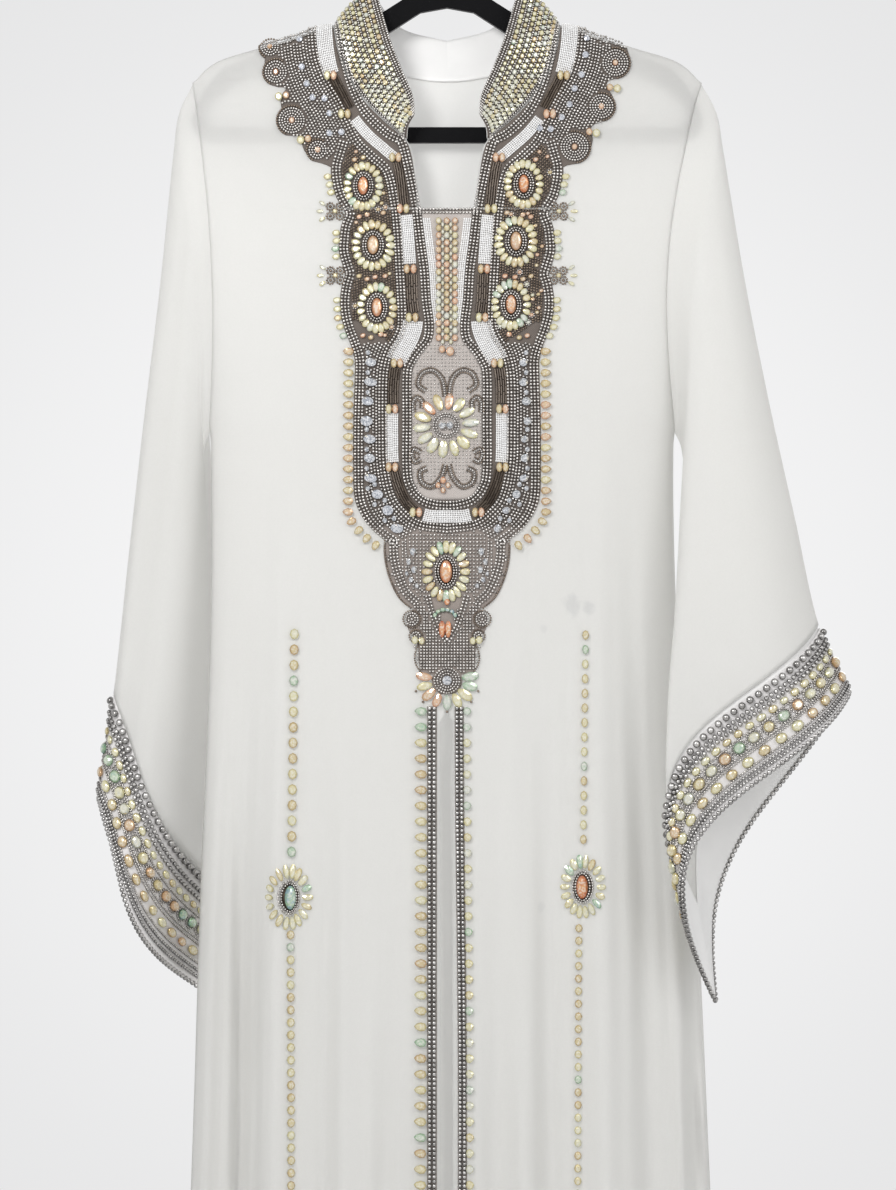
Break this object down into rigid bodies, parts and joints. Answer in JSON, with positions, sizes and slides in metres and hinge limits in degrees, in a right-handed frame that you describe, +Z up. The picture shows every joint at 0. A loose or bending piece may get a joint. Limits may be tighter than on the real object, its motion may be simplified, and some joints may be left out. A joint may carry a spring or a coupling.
{
  "type": "kaftan on a hanger",
  "caption": "Full-length white chiffon kaftan on a slim black clothes hanger, with a stand collar, keyhole neck, wide bell sleeves, and silver, amber and brown beadwork.",
  "frame": {"origin": "the inside top of the hook, where a rail carries the hanger", "axes": "+X to the viewer's right when facing the front, +Y from the front to the back, +Z up"},
  "size_m": [0.6222, 0.1664, 1.5438],
  "materials": {
    "chiffon": "matte",
    "beadwork": "satin",
    "cuff": "satin",
    "stones": "gloss",
    "velvet": "matte",
    "hook": "polished"
  },
  "bodies": {
    "root": {"hanger": "velvet", "hanger_hook": "hook", "back": "chiffon", "collar": "beadwork", "plastron": "beadwork", "front_left": "chiffon", "front_right": "chiffon", "yoke_left": "beadwork", "yoke_right": "beadwork", "sleeve_left": "chiffon", "sleeve_right": "chiffon", "cuff_left": "cuff", "cuff_right": "cuff", "slit_border_left": "beadwork", "slit_border_right": "beadwork", "stone_line_left_upper": "stones", "stone_line_left_lower": "stones", "stone_line_right_upper": "stones", "stone_line_right_lower": "stones", "yoke_medallion_1_left": "stones", "yoke_medallion_1_right": "stones", "yoke_medallion_2_left": "stones", "yoke_medallion_2_right": "stones", "yoke_medallion_3_left": "stones", "yoke_medallion_3_right": "stones", "centre_medallion": "stones", "lower_medallion": "stones", "end_medallion": "stones", "skirt_medallion_left": "stones", "skirt_medallion_right": "stones"}
  },
  "joints": []
}
